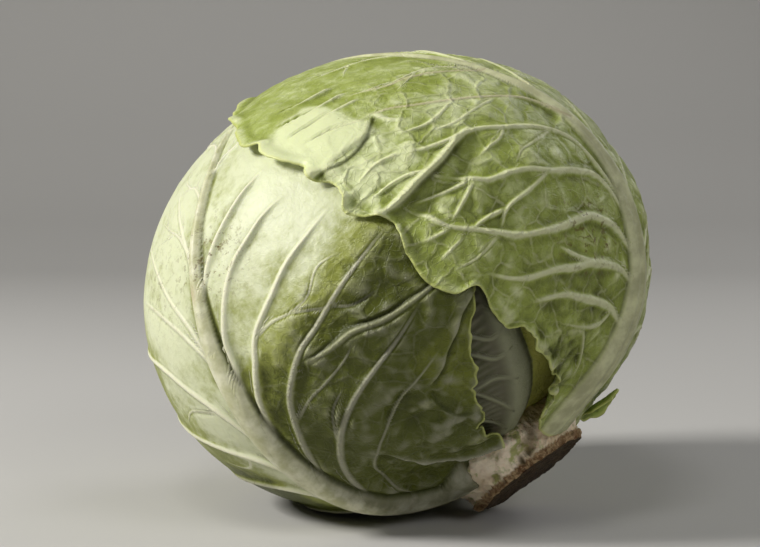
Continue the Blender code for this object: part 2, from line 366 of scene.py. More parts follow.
    def network(self, spacing, seed, height, width, area=1.0, stretch=1.0, dome=0.0, tint=0.6):
        """The net of small veins: low ridges between cells of about this spacing, domed between.

        The area goes to the finish too, which draws the finer lines of the net there.
        """
        source = np.random.default_rng(seed)
        count = int(NET_PATCH / spacing)
        column, row = np.meshgrid(np.arange(count), np.arange(int(count / stretch)))
        seeds = np.stack((column + 0.5 * (row % 2), row), -1).reshape(-1, 2).astype(float)
        seeds += source.uniform(-0.42, 0.42, seeds.shape)
        seeds = (seeds - seeds.max(0) / 2.0) * (spacing, spacing * stretch)
        wobble_x = self.x + 0.16 * spacing * value_noise(self.x, self.y, 0.35 * spacing, seed + 1)
        wobble_y = self.y + 0.16 * spacing * value_noise(self.x, self.y, 0.35 * spacing, seed + 2)
        nearest = np.full((2, len(self.x)), 1e9)
        for place in seeds:
            distance = np.hypot(wobble_x - place[0], (wobble_y - place[1]) / stretch)
            nearest[1] = np.minimum(nearest[1], np.maximum(nearest[0], distance))
            nearest[0] = np.minimum(nearest[0], distance)
        gap = 0.5 * (nearest[1] - nearest[0])
        ridge = smooth(1.0 - gap / (2.4 * width))
        swell = smooth(gap / (0.4 * spacing))
        strength = smooth(0.5 + 0.9 * value_noise(self.x, self.y, 1.1 * spacing, seed + 3))
        self.height += area * (height * strength * ridge + dome * swell * (0.4 + 0.6 * strength))
        self.net = np.maximum(self.net, area * tint)

    def waves(self, size, height, seed, area=1.0):
        """Soft ups and downs of the blade."""
        self.height += area * height * value_noise(self.x, self.y, size, seed)

    def side_ribs(self, midrib, seed, side, starts, length, width, height):
        """Ribs that leave the midrib on one side, curve outwards and fork."""
        source = np.random.default_rng(seed)
        curve = smooth_path(midrib)
        first_lean, last_lean = SIDE_RIB_LEANS
        for start in starts:
            index = int(start * (len(curve) - 2))
            place = curve[index].copy()
            run = curve[index + 1] - curve[index]
            heading = math.atan2(run[1], run[0])
            scale = source.uniform(0.85, 1.1) * (1.0 - 0.45 * start)
            path = [place.copy()]
            for step in range(9):
                bend = math.radians(first_lean + (last_lean - first_lean) * min(step / 4.0, 1.0))
                turn = heading - side * bend + source.normal(0.0, 0.09)
                place = place + towards(turn, length * scale / 9.0)
                path.append(place.copy())
            self.rib(path, (width, 0.6 * width, 0.25 * width), (height, 0.6 * height, 0.15 * height))
            for fork, swing in ((3, 0.75), (5, -0.6), (7, 0.55)):
                heading_out = math.atan2(*(path[fork + 1] - path[fork])[::-1]) + side * swing
                branch = [path[fork].copy()]
                for _ in range(5):
                    heading_out += source.normal(0.0, 0.14)
                    branch.append(branch[-1] + towards(heading_out, length * scale * 0.075))
                self.rib(branch, (0.38 * width, 0.15 * width), (0.5 * height, 0.1 * height), 0.8)


def leaf_mesh(name, cells):
    """A closed flat leaf on the square from -1 to 1: its places there, and which belong to the inner face."""
    sheet = bmesh.new()
    few = cells // CELLS_PER_INNER_CELL
    bmesh.ops.create_grid(sheet, x_segments=few, y_segments=few, size=1.0)
    rim = [edge for edge in sheet.edges if edge.is_boundary]
    bmesh.ops.subdivide_edges(sheet, edges=rim, cuts=CELLS_PER_INNER_CELL - 1)
    bmesh.ops.translate(sheet, verts=sheet.verts, vec=(0.0, 0.0, -1.0))
    bmesh.ops.create_grid(sheet, x_segments=cells, y_segments=cells, size=1.0)
    rims = [edge for edge in sheet.edges if edge.is_boundary]
    bmesh.ops.bridge_loops(sheet, edges=rims)
    bmesh.ops.recalc_face_normals(sheet, faces=sheet.faces)
    mesh = bpy.data.meshes.new(name)
    sheet.to_mesh(mesh)
    sheet.free()
    places = get_places(mesh)
    return mesh, places[:, 0], places[:, 1], places[:, 2] < -0.5


def get_places(mesh):
    """Places of a mesh's vertices, one in each row."""
    places = np.zeros(len(mesh.vertices) * 3, np.float32)
    mesh.vertices.foreach_get("co", places)
    return places.reshape(-1, 3).astype(float)


def set_places(mesh, places):
    """Moves a mesh's vertices to these places."""
    mesh.vertices.foreach_set("co", np.ascontiguousarray(places, np.float32).ravel())
    mesh.update()


def add_attribute(mesh, name, values, kind="FLOAT"):
    """Gives a mesh a value at each vertex, for its finish to read."""
    attribute = mesh.attributes.new(name, kind, "POINT")
    field = "value" if kind == "FLOAT" else "vector"
    attribute.data.foreach_set(field, np.ascontiguousarray(values, np.float32).ravel())


def add_object(name, mesh, finish):
    """An object in the scene with this mesh, smooth, in one finish."""
    mesh.materials.append(finish)
    mesh.shade_smooth()
    made = bpy.data.objects.new(name, mesh)
    bpy.context.scene.collection.objects.link(made)
    return made


def valleys(u, v, inner, raised, cells):
    """How far, in mm, each place of the outer face lies below its surroundings."""
    below = np.zeros_like(raised)
    outer = np.nonzero(~inner)[0]
    order = outer[np.lexsort((np.rint(u[outer] * cells), np.rint(v[outer] * cells)))]
    side = int(round(math.sqrt(len(order))))
    sheet = raised[order].reshape(side, side)
    for reach in (3, 9):
        window = np.hanning(2 * reach + 3)[1:-1]
        window /= window.sum()
        padded = np.pad(sheet, reach, mode="edge")
        rows = np.apply_along_axis(lambda line: np.convolve(line, window, "valid"), 1, padded)
        blurred = np.apply_along_axis(lambda line: np.convolve(line, window, "valid"), 0, rows)
        below[order] += 0.5 * (blurred - sheet).ravel()
    return below


def make_leaf(name, node, plane, cells, shape, finish, over=(), ragged=0.5, thickness=BLADE_THICKNESS):
    """A leaf: its flat sheet, raised by shape(relief), wrapped on the ball and given a thickness.

    It lies calm, and a little lower, where one of the leaves in over covers it. Ragged is how far its
    margin is torn.
    """
    mesh, u, v, inner = leaf_mesh(name, cells)
    x, y, reach = plane.spread(u, v)
    size = np.linalg.norm(plane.edge - plane.centre, axis=1).mean()
    edge = (1.0 - reach) * size
    directions = plane.directions(x, y)
    covered = np.zeros_like(x)
    for upper in over:
        covered = np.maximum(covered, smooth((1.0 - upper.share(directions)) / COVER_FADE))
    tear = ragged(x, y) if callable(ragged) else ragged
    nibble = tear * smooth(1.0 - edge / TORN_BAND) * (
        0.6 * value_noise(x, y, 5.0, 11) + 0.4 * value_noise(x, y, 2.2, 12))
    inward = (plane.centre - np.stack((x, y), 1))
    inward /= np.maximum(np.linalg.norm(inward, axis=1), 1e-6)[:, None]
    x, y = x + nibble * inward[:, 0], y + nibble * inward[:, 1]
    relief = Relief(x, y, edge)
    shape(relief)
    directions = plane.directions(x, y)
    raised = relief.total()
    height = raised * (1.0 - covered) - TUCKED_UNDER * covered
    radius = ball_radius(directions, plane.depth) + height
    radius = np.minimum(radius, floor_radius(directions, plane.depth))
    wall = EDGE_THICKNESS + (thickness - EDGE_THICKNESS) * smooth(edge / EDGE_BAND)
    radius = np.where(inner, radius - wall, radius)
    set_places(mesh, MIDDLE + MM * radius[:, None] * directions)
    relief.strength[np.abs(relief.line) >= LINE_SHOWN] = 0.0
    for mask in relief.MASKS:
        add_attribute(mesh, mask, getattr(relief, mask))
    # The finish paints shade into these valleys and a highlight onto the ridges.
    add_attribute(mesh, "valley", valleys(u, v, inner, raised, cells))
    add_attribute(mesh, "line", relief.line)
    add_attribute(mesh, "edge_mm", edge)
    add_attribute(mesh, "leaf_cm", np.stack((x / 10.0, y / 10.0, np.zeros_like(x)), 1), "FLOAT_VECTOR")
    leaf = add_object(name, mesh, finish)
    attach(leaf, "root")
    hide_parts(node)
    return leaf


# Leaf outlines, from the foot round by the right side. Millimetres.
RIGHT_LEAF = LeafPlane(-30, 92, 0, [
    (-14, -121), (2, -123), (28, -122), (56, -112), (84, -82), (108, -40), (118, 5), (112, 50),
    (90, 90), (55, 120), (5, 135), (-35, 125), (-65, 111), (-84, 87), (-94, 73), (-97, 65),
    (-95, 58), (-98, 53), (-98, 43), (-95, 34), (-98, 27), (-94, 20), (-95, 12), (-98, 6),
    (-93, -1), (-90, -4), (-88, -10), (-90, -22), (-87, -34), (-81, -41), (-74, -42), (-71, -46),
    (-70, -53), (-65, -61), (-57, -65), (-54, -73), (-49, -79), (-42, -87), (-43, -93), (-37, -97),
    (-40, -103), (-34, -112), (-26, -119),
])
LEFT_LEAF = LeafPlane(-132, 84, 1, [
    (-8, -108), (12, -104), (26, -98), (31, -92), (30, -86), (35, -80), (30, -80), (39, -76),
    (43, -70), (47, -63), (51, -60), (57, -55), (60, -50), (67, -43), (74, -38), (88, -20), (98, 10),
    (96, 50), (80, 88), (50, 115), (10, 130), (-35, 124), (-72, 100), (-96, 66), (-108, 28),
    (-118, -10), (-126, -50), (-124, -84), (-100, -112), (-58, -122), (-28, -113),
])
BACK_LEAF = LeafPlane(105, 80, 2, [
    (0, -104), (28, -107), (60, -92), (80, -52), (92, -15), (94, 22), (74, 60), (40, 88), (-5, 98),
    (-45, 90), (-80, 65), (-104, 25), (-108, -15), (-96, -58), (-66, -96), (-30, -108),
])
CROWN_LEAF = LeafPlane(105, 146, 3, [
    (0, -66), (54, -56), (82, -8), (66, 50), (0, 66), (-66, 52), (-86, -6), (-56, -56),
])
INNER_LEAF = LeafPlane(-78, 62, 4, [
    (-16, -76), (-8, -78), (-2, -74), (2, -60), (6, -46), (8, -30), (8, -15), (12, 5), (16, 28),
    (8, 52), (-16, 62), (-46, 48), (-60, 14), (-56, -20), (-44, -50), (-28, -72),
])
UNDER_LEAF = LeafPlane(-60, 60, 5, [
    (0, -74), (20, -66), (42, -34), (46, 4), (30, 38), (0, 52), (-32, 40), (-46, 4), (-40, -34),
    (-20, -66),
])
SCRAP = LeafPlane(6, 23, -1, [(0, -7), (7, -6), (9, 1), (5, 6), (0, 8), (-6, 6), (-9, 0), (-7, -5)])


def shape_left_leaf(relief):
    """Big smooth blade, a broad midrib that bends along the foot, and long side ribs that sweep up."""
    x, y = relief.x, relief.y
    midrib = [
        (-6, -110), (-22, -100), (-28, -82), (-25, -54), (-17, -26), (-9, -5), (-3, 12), (3, 27),
        (9, 43), (17, 60), (23, 78), (26, 100), (20, 120)]
    spine = np.interp(y, [place[1] for place in midrib], [place[0] for place in midrib])
    rumple = spot(x, y, (32, -60), 40.0)
    ruffled = smooth((0.2 * x - y + 10.0) / 36.0) * smooth((x - spine + 2.0) / 14.0)
    relief.waves(30.0, 1.0, 21)
    relief.waves(13.0, 0.3 + 1.1 * ruffled + 1.2 * rumple, 22)
    relief.waves(6.5, 0.05 + 0.7 * ruffled + 1.3 * rumple, 23)
    relief.waves(3.2, 0.02 + 0.25 * ruffled + 0.5 * rumple, 25)
    relief.network(9.0, 31, 0.35, 0.6, 0.12 + 0.88 * ruffled, 1.5, 0.9, 0.75)
    for path in (
        [(-24, -92), (-14, -72), (-4, -58), (8, -52), (16, -49), (31, -44), (43, -43), (56, -41)],
        [(15, 4), (22, 4), (29, 2), (37, 2), (45, 7), (54, 6)],
        [(29, 2), (35, -2), (42, -7)],
        [(2, -24), (12, -22), (21, -22), (31, -21), (37, -19)],
        [(-24, -2), (-38, 6), (-50, 6)],
        [(-34, -20), (-44, -22), (-58, -12)],
        [(4, -38), (14, -30), (24, -27)],
        [(40, -5), (46, -10), (56, -12)],
    ):
        relief.rib(path, (0.65, 0.55, 0.4), (0.35, 0.35, 0.12), 0.7)
    for path in (
        [(-16, -26), (-11, -14), (-6, -6), (-1, 2), (3, 10), (8, 16), (14, 22), (22, 28), (32, 32),
         (40, 35), (51, 37)],
        [(-2, 10), (1, 20), (5, 27), (11, 33), (18, 39), (28, 45), (36, 49), (46, 53)],
        [(-21, -46), (-15, -29), (-9, -19), (-4, -12), (2, -6), (8, -1), (15, 5), (27, 10), (38, 15),
         (49, 18), (62, 22)],
        [(-25, -64), (-18, -46), (-9, -34), (-2, -26), (6, -18), (14, -13), (23, -9), (32, -7),
         (47, -3), (60, 0), (74, 3)],
        [(-27, -82), (-20, -63), (-8, -48), (3, -40), (14, -35), (24, -32), (36, -30), (49, -28), (64, -24)],
    ):
        relief.rib(path, (1.1, 1.5, 1.3, 1.1, 0.9, 0.5), (0.3, 1.2, 1.4, 1.1, 0.8, 0.3))
    for path in (
        [(-3, 10), (0, 20), (3, 30), (5, 42), (4, 54), (2, 66), (0, 80)],
        [(-12, -10), (-8, 4), (-7, 14), (-8, 25), (-12, 37), (-17, 51), (-24, 64), (-34, 78)],
        [(-14, -16), (-10, 0), (-8, 10), (-12, 22), (-17, 31), (-26, 42), (-40, 54)],
    ):
        relief.rib(path, (1.0, 1.1, 0.9, 0.6), (0.6, 0.9, 0.7, 0.4), 0.9)
    for path in (
        [(-20, -38), (-20, -16), (-22, -2), (-28, 11), (-37, 24), (-52, 36), (-68, 48)],
        [(-26, -62), (-26, -40), (-30, -24), (-42, -10), (-56, 2), (-72, 14), (-88, 22)],
        [(-28, -84), (-31, -58), (-40, -40), (-56, -27), (-74, -18), (-94, -10)],
        [(-26, -98), (-36, -78), (-50, -64), (-68, -54), (-88, -48), (-108, -46)],
    ):
        relief.rib(path, (1.1, 1.5, 1.3, 0.8), (0.4, 1.6, 1.4, 0.7))
    relief.side_ribs(midrib, 41, 1.0, (0.8, 0.9), 50.0, 0.9, 0.7)
    relief.side_ribs(midrib, 42, -1.0, (0.66, 0.76, 0.86), 55.0, 0.9, 0.7)
    relief.rib(midrib, (15.0, 9.0, 6.6, 5.4, 4.4, 3.4, 2.6, 2.1, 1.6, 1.1, 0.7),
               (6.0, 6.0, 5.6, 5.0, 4.4, 3.6, 2.8, 2.0, 1.4, 0.9, 0.4), round_top=1.0, stalk=1.0)
    relief.gutter(midrib, (17.0, 10.5, 8.2, 6.8, 5.6, 4.4, 3.4, 2.7, 2.1, 1.5, 1.0), 2.0, 0.5)
    pleat = [(74, -24), (58, -22), (49, -20), (40, -16), (30, -15), (18, -12)]
    relief.rib(pleat, (1.0, 1.4, 1.3, 0.9), (0.6, 1.6, 1.3, 0.2), 0.5)
    relief.step(pleat[::-1], 1.4, 1.2, 16.0, 0.25)
    relief.step([(80, -34), (68, -37), (61, -41), (54, -44), (48, -47), (40, -48)], 1.5, 1.0, 30.0, 0.1)
    torn_side = [(36, -104), (26, -99), (19, -96), (14, -90), (10, -77), (8, -66), (6, -50)]
    relief.step(torn_side, 4.0, 1.6, 26.0, 0.15)
    relief.step([(40, -48), (36, -56), (36, -66), (42, -74)], 0.6, 1.0, 10.0, 0.3)
    relief.height += 1.4 * smooth(1.0 - relief.edge / 3.0) * value_noise(x, y, 8.0, 24)
    strip = smooth((-y - 36.0) / 3.0) * smooth((x - 40.0) / 5.0)
    low = smooth((-34.0 - y) / 46.0) * smooth((x + 62.0) / 30.0)
    under = smooth((-x - 35.0) / 15.0) * smooth((-y - 2.0) / 28.0)
    # Tone: the dark ruffled zone right of the midrib is partly the leaf's own deeper green and partly painted
    # shade; low darkens towards the foot as painted shade, and the lighter spot at (28, -84) is painted light
    # on the hanging flap's lip.
    relief.tone = (
        1.6 * ruffled + 0.35 * rumple + 0.65 * low + 0.6 * smooth((-x - 30.0) / 30.0) + 0.8 * under
        + 0.25 * spot(x, y, (14, 12), 18.0) + 0.4 * spot(x, y, (-95, 25), 30.0)
        - 1.1 * spot(x, y, (28, -84), 18.0) - 0.7 * spot(x, y, (34, -52), 12.0)
        + 0.35 * spot(x, y, (33, 16), 12.0) - 0.3 * spot(x, y, (40, 36), 22.0))
    relief.olive = strip
    relief.specks = 0.4 * spot(x, y, (-20, 46), 34.0) + 0.8 * spot(x, y, (14, 36), 26.0)
    relief.blush = 0.8 * spot(x, y, (2, 30), 5.0)


def shape_right_leaf(relief):
    """The outermost blade: puckered, with a net of raised veins, a torn margin and a folded lobe."""
    x, y = relief.x, relief.y
    midrib = [
        (-14, -122), (-15, -106), (-9, -92), (-4, -79), (0, -68), (3, -56), (3, -42), (3, -28), (0, -12),
        (-4, 5), (-10, 20), (-16, 38), (-20, 60), (-17, 92), (-5, 125)]
    flap = smooth((y - 25.0) / 2.0) * smooth((-x - 68.0) / 8.0) * smooth((112.0 - y) / 40.0)
    net = 0.25 + 0.75 * smooth((55.0 - y) / 25.0)
    torn = spot(x, y, (-46, -84), 34.0)
    relief.waves(30.0, 1.0, 51)
    relief.waves(12.0, 0.65 * net + 0.4 * torn, 52)
    relief.waves(5.0, 0.15 + 0.8 * torn, 53)
    relief.waves(2.6, 0.04 + 0.35 * torn, 55)
    relief.height += 1.3 * flap
    relief.network(12.0, 61, 0.4, 0.7, net * (1.0 - 0.75 * flap), 1.15, 1.2, 0.9)
    relief.network(6.0, 65, 0.15, 0.6, torn, 1.1, 0.9, 0.9)
    for path in (
        [(-43, 19), (-56, 16), (-67, 19)],
        [(-28, 13), (-40, 12), (-50, 11), (-58, 13)],
        [(-18, -6), (-31, -8), (-37, -9), (-43, -13)],
        [(-36, 1), (-41, -2), (-47, -3), (-52, -4)],
        [(-60, -10), (-69, -9), (-80, -6)],
        [(-59, -11), (-67, -16), (-74, -20)],
        [(-32, -19), (-43, -22), (-53, -24), (-59, -30)],
        [(-54, -24), (-64, -24), (-70, -26)],
        [(-74, -21), (-85, -20)],
        [(-72, -26), (-83, -29)],
        [(-61, -31), (-70, -34), (-80, -34)],
        [(-25, -52), (-34, -47), (-40, -42)],
        [(-32, -62), (-38, -60), (-41, -54)],
        [(-16, -70), (-24, -73), (-34, -71), (-44, -67)],
        [(-32, -72), (-29, -84), (-29, -92)],
        [(-70, 33), (-78, 38), (-90, 42)],
        [(-62, 44), (-76, 47), (-90, 50)],
        [(-60, 52), (-76, 55), (-87, 59)],
        [(-58, 61), (-70, 64), (-80, 68)],
        [(-72, 12), (-80, 14), (-90, 12)],
        [(-66, -4), (-72, 2), (-80, 4), (-90, 4)],
    ):
        relief.rib(path, (0.75, 0.6, 0.35), (0.7, 0.6, 0.25), 0.7)
    for path in (
        [(-4, 6), (-2, 15), (-8, 24), (-23, 32), (-39, 39), (-51, 42), (-65, 52)],
        [(-3, -4), (-12, 8), (-27, 14), (-42, 20), (-54, 26), (-61, 31), (-70, 34)],
    ):
        relief.rib(path, (0.9, 0.8, 0.7, 0.4), (0.6, 0.6, 0.5, 0.2), 0.65, 0.9)
    for path in (
        [(1, -40), (-5, -24), (-11, -12), (-18, -6), (-27, -2), (-36, 1), (-46, 5), (-55, 6),
         (-64, 8), (-72, 12)],
        [(1, -44), (-8, -27), (-19, -22), (-31, -19), (-38, -16), (-46, -14), (-54, -13), (-60, -9),
         (-66, -4)],
        [(1, -56), (-8, -44), (-15, -40), (-23, -37), (-35, -37), (-44, -36), (-53, -34), (-60, -30),
         (-66, -26), (-74, -20), (-78, -13), (-82, -7)],
        [(0, -68), (-8, -58), (-25, -52), (-35, -51), (-44, -49), (-54, -48), (-62, -45), (-70, -39)],
        [(-4, -82), (-16, -69), (-32, -62), (-42, -58), (-56, -56)],
    ):
        relief.rib(path, (1.0, 1.2, 1.1, 0.9, 0.6), (0.8, 1.3, 1.2, 1.0, 0.5), 0.9)
    relief.side_ribs(midrib, 71, 1.0, (0.12, 0.22, 0.32, 0.42, 0.54, 0.66, 0.78), 105.0, 1.1, 1.2)
    relief.side_ribs(midrib, 72, -1.0, (0.76, 0.86), 70.0, 0.9, 0.8)
    relief.rib(midrib, (14.0, 10.0, 7.4, 5.8, 4.6, 3.6, 2.6, 1.6, 0.9),
               (4.6, 4.6, 4.4, 3.8, 3.2, 2.4, 1.5, 0.8, 0.3), round_top=0.8, stalk=1.0)
    relief.step([(-66, 33), (-70, 30), (-76, 26), (-85, 24), (-98, 27)], 0.6, 0.8, 14.0, 0.1)
    fold = [(-46, 7), (-56, 4), (-64, 1), (-74, -1), (-82, -3), (-92, -3)]
    relief.rib(fold, (1.0, 1.4, 1.5, 1.4), (0.8, 1.6, 1.9, 1.2), 0.75)
    relief.step(fold, 1.5, 1.0, 13.0, 0.25)
    relief.rib([(-66, 33), (-64, 26), (-60, 22)], (0.9, 1.2), (1.2, 1.4), 0.4)
    relief.grooves(midrib, 5.0, 4.2, 0.25)
    relief.height += 2.0 * smooth(1.0 - relief.edge / 5.0) * (0.35 + value_noise(x, y, 11.0, 54))
    relief.height += 1.8 * torn * smooth(1.0 - relief.edge / 6.0) * value_noise(x, y, 4.0, 56)
    relief.height += 2.0 * spot(x, y, (-90, -3), 5.0) + 1.8 * spot(x, y, (-97, 29), 5.0)
    lobe = spot(x, y, (-84, 12), 22.0) * (1.0 - flap)
    relief.tone = (
        0.3 + 0.3 * smooth((30.0 - y) / 50.0) + 0.25 * smooth((y - 20.0) / 20.0)
        - 0.95 * flap * smooth((62.0 - y) / 12.0) - 0.5 * lobe + 0.4 * torn)
    relief.specks = spot(x, y, (-24, -42), 26.0)


def shape_back_leaf(relief):
    """The wrapper at the back, with a straight midrib."""
    midrib = [(-2, -106), (4, -50), (2, 0), (-4, 50), (-5, 96)]
    relief.waves(32.0, 0.9, 81)
    relief.waves(13.0, 0.45, 82)
    relief.network(13.0, 83, 0.4, 0.5, 0.8, 1.2, 0.35, 0.45)
    relief.side_ribs(midrib, 84, 1.0, (0.06, 0.16, 0.28, 0.4, 0.54, 0.68, 0.82), 95.0, 1.5, 1.5)
    relief.side_ribs(midrib, 85, -1.0, (0.1, 0.22, 0.34, 0.47, 0.6, 0.76), 95.0, 1.5, 1.5)
    relief.rib(midrib, (7.5, 6.0, 4.6, 3.0, 1.8, 0.9), (4.2, 3.6, 3.0, 2.0, 1.2, 0.3))
    relief.grooves(midrib, 4.5, 3.6, 0.3)
    relief.height += 1.2 * smooth(1.0 - relief.edge / 5.0) * value_noise(relief.x, relief.y, 10.0, 86)
    relief.tone = 0.35 + 0.3 * value_noise(relief.x, relief.y, 40.0, 87)


def shape_crown_leaf(relief):
    """Pale leaf that shows between the wrappers over the back of the crown."""
    midrib = [(4, -66), (0, -20), (-4, 25), (-2, 64)]
    relief.waves(26.0, 0.6, 91)
    relief.network(11.0, 92, 0.35, 0.45, 0.8, 1.2, 0.3, 0.45)
    relief.side_ribs(midrib, 93, 1.0, (0.05, 0.25, 0.45, 0.65), 70.0, 1.1, 1.1)
    relief.side_ribs(midrib, 94, -1.0, (0.1, 0.3, 0.5, 0.7), 70.0, 1.1, 1.1)
    relief.rib(midrib, (3.0, 2.2, 1.4, 0.7), (1.6, 1.2, 0.8, 0.3))
    relief.tone = np.full_like(relief.x, 0.2)


def shape_inner_leaf(relief):
    """Cream leaf in the gap, whose edge runs along its thick pale midrib."""
    relief.waves(14.0, 0.7, 101)
    relief.height += 0.25 * np.cos(relief.y * 1.9 + 3.0 * value_noise(relief.x, relief.y, 14.0, 102))
    for path in (
        [(0, -32), (-8, -28), (-16, -28), (-26, -24)],
        [(2, -18), (-5, -20), (-12, -14), (-20, -10)],
        [(-4, -50), (-11, -38), (-18, -29), (-28, -26)],
        [(4, -8), (-3, -12), (-9, -8), (-16, -2)],
        [(-8, -62), (-16, -50), (-24, -44), (-34, -42)],
    ):
        relief.rib(path, (1.1, 0.9, 0.5), (1.0, 0.8, 0.3), 0.8)
    relief.rib([(-9, -78), (-5, -62), (-1, -48), (1, -34), (2, -20), (3, -6), (6, 10), (8, 30)],
               (6.5, 6.0, 5.4, 4.8, 3.8), (3.4, 3.2, 2.8, 2.4, 1.6))
    relief.rib([(-4, -74), (-1, -60), (3, -46), (5, -30), (5, -15), (9, 5), (12, 24)],
               (1.4, 1.8, 1.8, 1.8, 1.4), (0.8, 1.2, 1.2, 1.0, 0.6))
    relief.tone = 0.1 + 0.5 * smooth((relief.x + 4.0) / 6.0)


def shape_under_leaf(relief):
    """Olive leaf beside it, deeper in the gap."""
    relief.waves(18.0, 0.6, 111)
    relief.network(10.0, 112, 0.3, 0.5, 1.0, 1.4, 0.3, 0.3)
    relief.tone = np.full_like(relief.x, 1.0)
    relief.blush = spot(relief.x, relief.y, (2, -68), 20.0)


def shape_scrap(relief):
    """Small torn bit of leaf, curled away from the head."""
    relief.height += 0.035 * (relief.x ** 2) + 0.25 * np.maximum(relief.y + 4.0, 0.0)
    relief.waves(5.0, 0.8, 121)
    relief.tone = np.full_like(relief.x, 0.8)


def operator(operation, reflected=False):
    """An arithmetic method of Value, which adds the Math node."""
    def apply(self, other):
        pair = (other, self) if reflected else (self, other)
        return self.math(operation, *pair)
    return apply


class Value:
    """A number socket that does arithmetic: each operator adds its Math node."""

    def __init__(self, finish, socket):
        self.finish, self.socket = finish, socket

    def math(self, operation, *numbers):
        return self.finish.add("ShaderNodeMath", {"operation": operation}, dict(enumerate(numbers)))

    __add__, __radd__ = operator("ADD"), operator("ADD", True)
    __sub__, __rsub__ = operator("SUBTRACT"), operator("SUBTRACT", True)
    __mul__, __rmul__ = operator("MULTIPLY"), operator("MULTIPLY", True)

    def __abs__(self):
        return self.math("ABSOLUTE", self)

    def clamped(self):
        return self.math("MINIMUM", self.math("MAXIMUM", self, 0.0), 1.0)

    def between(self, low, high):
        """Rises smoothly from 0 to 1 as the number goes from low to high."""
        sockets = {"Value": self, "From Min": low, "From Max": high}
        return self.finish.add("ShaderNodeMapRange", {"interpolation_type": "SMOOTHSTEP"}, sockets)


class Finish:
    """A Principled material built by expressions."""

    def __init__(self, name):
        self.material = bpy.data.materials.new(name)
        self.material.use_nodes = True
        self.tree = self.material.node_tree
        self.shader = self.tree.nodes["Principled BSDF"]

    def add(self, kind, settings=None, sockets=None, output=0):
        """A node of this kind with its settings, then its sockets' values or links."""
        node = self.tree.nodes.new(kind)
        for name, value in (settings or {}).items():
            setattr(node, name, value)
        self.fill(node, sockets or {})
        return Value(self, node.outputs[output])

    def fill(self, node, sockets):
        for name, value in sockets.items():
            if isinstance(value, Value):
                self.tree.links.new(value.socket, node.inputs[name])
            else:
                node.inputs[name].default_value = value

    def attribute(self, name, output="Fac"):
        """A value that the mesh carries at its vertices."""
        return self.add("ShaderNodeAttribute", {"attribute_name": name}, output=output)

    def mix(self, factor, first, second):
        """Blend of two colours; the node holds the factor between 0 and 1."""
        colours = {0: factor, 6: first, 7: second}
        for index in (6, 7):
            if isinstance(colours[index], tuple):
                colours[index] = (*colours[index], 1.0)
        return self.add("ShaderNodeMix", {"data_type": "RGBA"}, colours, output=2)

    def noise(self, vector, scale, detail=3.0, roughness=0.55, distortion=0.0):
        sockets = {"Vector": vector, "Scale": scale, "Detail": detail, "Roughness": roughness,
                   "Distortion": distortion}
        return self.add("ShaderNodeTexNoise", {}, sockets)

    def cracks(self, vector, scale):
        """Distance to the nearest border of irregular cells."""
        sockets = {"Vector": vector, "Scale": scale}
        return self.add("ShaderNodeTexVoronoi", {"feature": "DISTANCE_TO_EDGE"}, sockets)

    def moved(self, vector, amount, scale):
        """A pattern's coordinates, wobbled so its lines are not straight."""
        sockets = {"Vector": vector, "Scale": scale, "Detail": 2.0}
        wobble = self.add("ShaderNodeTexNoise", {}, sockets, output=1)
        offset = self.add("ShaderNodeVectorMath", {"operation": "SCALE"}, {0: wobble, "Scale": amount})
        return self.add("ShaderNodeVectorMath", {"operation": "ADD"}, {0: vector, 1: offset})

    def bump(self, height, distance, strength):
        sockets = {"Height": height, "Distance": distance, "Strength": strength}
        return self.add("ShaderNodeBump", {}, sockets)

    def finish(self, colour, roughness, normal, **constants):
        """The finished material; a constant is named as the shader's socket, with _ for a space."""
        self.fill(self.shader, {"Base Color": colour, "Roughness": roughness, "Normal": normal})
        for name, value in constants.items():
            self.shader.inputs[name.replace("_", " ")].default_value = value
        return self.material


def darker(colour, share):
    """This share of a colour."""
    return tuple(share * part for part in colour)


